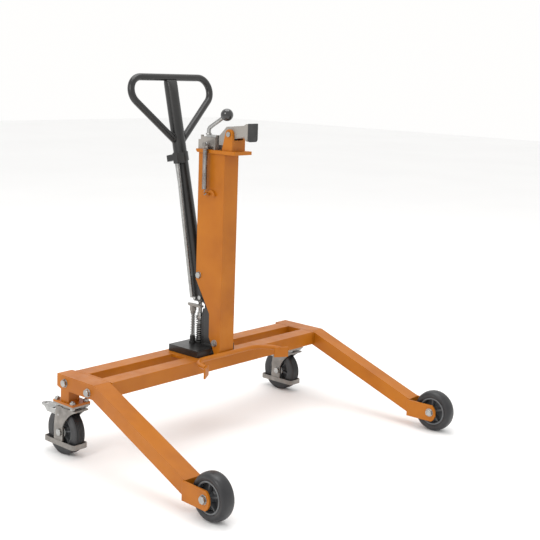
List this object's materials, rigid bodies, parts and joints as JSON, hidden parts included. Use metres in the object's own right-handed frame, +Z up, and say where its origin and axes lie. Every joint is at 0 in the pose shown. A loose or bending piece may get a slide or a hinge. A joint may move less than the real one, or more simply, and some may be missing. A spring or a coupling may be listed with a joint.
{
  "type": "hydraulic drum transporter",
  "caption": "Straddle truck on casters with sloping legs, a hand-pumped lifting column and a beak clamp that grips a steel drum by its rim.",
  "frame": {"origin": "on the floor under the middle of the truck's plan", "axes": "+X from the operator towards the drum, +Y to the operator's left, +Z up"},
  "size_m": [0.7555, 1.0144, 1.0324],
  "materials": {
    "orange": "gloss powder coat",
    "black_paint": "semi-gloss powder coat",
    "zinc": "bright zinc",
    "spring_steel": "bright zinc wire",
    "grey_cast": "satin grey",
    "dark_steel": "blackened",
    "tyre_rubber": "worn rubber",
    "jaw_rubber": "matte",
    "hub_plastic": "moulded",
    "knob_plastic": "polished"
  },
  "bodies": {
    "frame": {"front_crossbeam": "orange", "rear_crossbeam": "orange", "frame_plates": "orange", "left_arm": "orange", "right_arm": "orange", "fork_plates": "orange", "caster_posts": "orange", "arm_bolts": "zinc", "caster_bolts": "zinc", "pump_base": "black_paint", "inner_mast": "black_paint", "lift_cylinder": "zinc", "pump_body": "black_paint", "pump_yoke": "black_paint", "handle_pin": "zinc", "front_axles": "zinc", "caster_heads": "grey_cast"},
    "carriage": {"column": "orange", "top_plate": "orange", "pivot_bracket": "orange", "cradle_bar": "orange", "cradle_pads": "orange", "guide_blocks": "black_paint", "guide_bolts": "zinc", "spring_lug": "orange", "hook_spring": "spring_steel", "ram": "zinc", "clamp_housing": "grey_cast", "beak_pin": "zinc"},
    "beak": {"beak": "grey_cast", "jaw_pad": "jaw_rubber"},
    "knob_lever": {"knob_lever": "zinc", "ball_knob": "knob_plastic"},
    "latch_pin": {"latch_pin": "dark_steel"},
    "handle": {"handle_tube": "black_paint", "hand_loop": "black_paint", "handle_socket": "black_paint", "pump_roller": "zinc"},
    "release_collar": {"release_collar": "black_paint", "release_rod": "zinc"},
    "pump_plunger": {"pump_plunger": "zinc", "pump_spring": "spring_steel"},
    "release_lever": {"release_lever": "grey_cast", "release_spring": "spring_steel"},
    "left_caster": {"left_swivel_fork": "grey_cast", "left_toe_guard": "grey_cast", "left_caster_axle": "zinc"},
    "left_caster_wheel": {"left_caster_tyre": "tyre_rubber", "left_caster_hub": "hub_plastic"},
    "left_brake": {"left_brake_pedal": "zinc"},
    "left_front_wheel": {"left_front_tyre": "tyre_rubber", "left_front_hub": "hub_plastic"},
    "right_caster": {"right_swivel_fork": "grey_cast", "right_toe_guard": "grey_cast", "right_caster_axle": "zinc"},
    "right_caster_wheel": {"right_caster_tyre": "tyre_rubber", "right_caster_hub": "hub_plastic"},
    "right_brake": {"right_brake_pedal": "zinc"},
    "right_front_wheel": {"right_front_tyre": "tyre_rubber", "right_front_hub": "hub_plastic"}
  },
  "joints": [
    {"name": "mast_lift", "type": "slide", "parent": "frame", "child": "carriage", "axis": [0, 0, 1], "range_m": [0, 0.25]},
    {"name": "handle_pump", "type": "hinge", "parent": "frame", "child": "handle", "pos_m": [-0.1945, 0, 0.385], "axis": [0, -1, 0], "range_deg": [0, 25], "stiffness_Nm_per_rad": 25, "springref_deg": -28.65},
    {"name": "plunger_stroke", "type": "slide", "parent": "frame", "child": "pump_plunger", "axis": [0, 0, -1], "range_m": [0, 0.0097], "deforming": ["pump_spring"]},
    {"name": "release_squeeze", "type": "slide", "parent": "handle", "child": "release_collar", "axis": [0.2334, 0, -0.9724], "range_m": [0, 0.015], "stiffness_N_per_m": 2000, "springref_m": -0.006},
    {"name": "valve_press", "type": "slide", "parent": "frame", "child": "release_lever", "axis": [0, 0, -1], "range_m": [0, 0.0121], "deforming": ["release_spring"]},
    {"name": "clamp_lever_turn", "type": "hinge", "parent": "carriage", "child": "knob_lever", "pos_m": [-0.18, -0.019, 0.853], "axis": [0, 0, -1], "range_deg": [0, 90]},
    {"name": "latch_rise", "type": "slide", "parent": "carriage", "child": "latch_pin", "axis": [0, 0, 1], "range_m": [0, 0.0041]},
    {"name": "beak_rock", "type": "hinge", "parent": "carriage", "child": "beak", "pos_m": [-0.093, 0, 0.87], "axis": [0, -1, 0], "range_deg": [-5, 15]},
    {"name": "left_caster_swivel", "type": "hinge", "parent": "frame", "child": "left_caster", "pos_m": [-0.251, 0.444, 0.126], "axis": [0, 0, 1], "continuous": true},
    {"name": "left_caster_roll", "type": "hinge", "parent": "left_caster", "child": "left_caster_wheel", "pos_m": [-0.273, 0.444, 0.0635], "axis": [0, 1, 0], "continuous": true},
    {"name": "left_brake_press", "type": "hinge", "parent": "left_caster", "child": "left_brake", "pos_m": [-0.281, 0.444, 0.11], "axis": [0, -1, 0], "range_deg": [0, 5]},
    {"name": "left_front_roll", "type": "hinge", "parent": "frame", "child": "left_front_wheel", "pos_m": [0.31471, 0.46771, 0.0595], "axis": [-0.0558, 0.9984, 0], "continuous": true},
    {"name": "right_caster_swivel", "type": "hinge", "parent": "frame", "child": "right_caster", "pos_m": [-0.251, -0.444, 0.126], "axis": [0, 0, 1], "continuous": true},
    {"name": "right_caster_roll", "type": "hinge", "parent": "right_caster", "child": "right_caster_wheel", "pos_m": [-0.273, -0.444, 0.0635], "axis": [0, 1, 0], "continuous": true},
    {"name": "right_brake_press", "type": "hinge", "parent": "right_caster", "child": "right_brake", "pos_m": [-0.281, -0.444, 0.11], "axis": [0, -1, 0], "range_deg": [0, 5]},
    {"name": "right_front_roll", "type": "hinge", "parent": "frame", "child": "right_front_wheel", "pos_m": [0.31471, -0.46771, 0.0595], "axis": [0.0558, 0.9984, 0], "continuous": true}
  ],
  "couplings": [
    {"joint": "plunger_stroke", "follows": "handle_pump", "m_per_rad": 0.022},
    {"joint": "valve_press", "follows": "release_squeeze", "ratio": 0.8},
    {"joint": "latch_rise", "follows": "clamp_lever_turn", "m_per_rad": 0.002546}
  ]
}
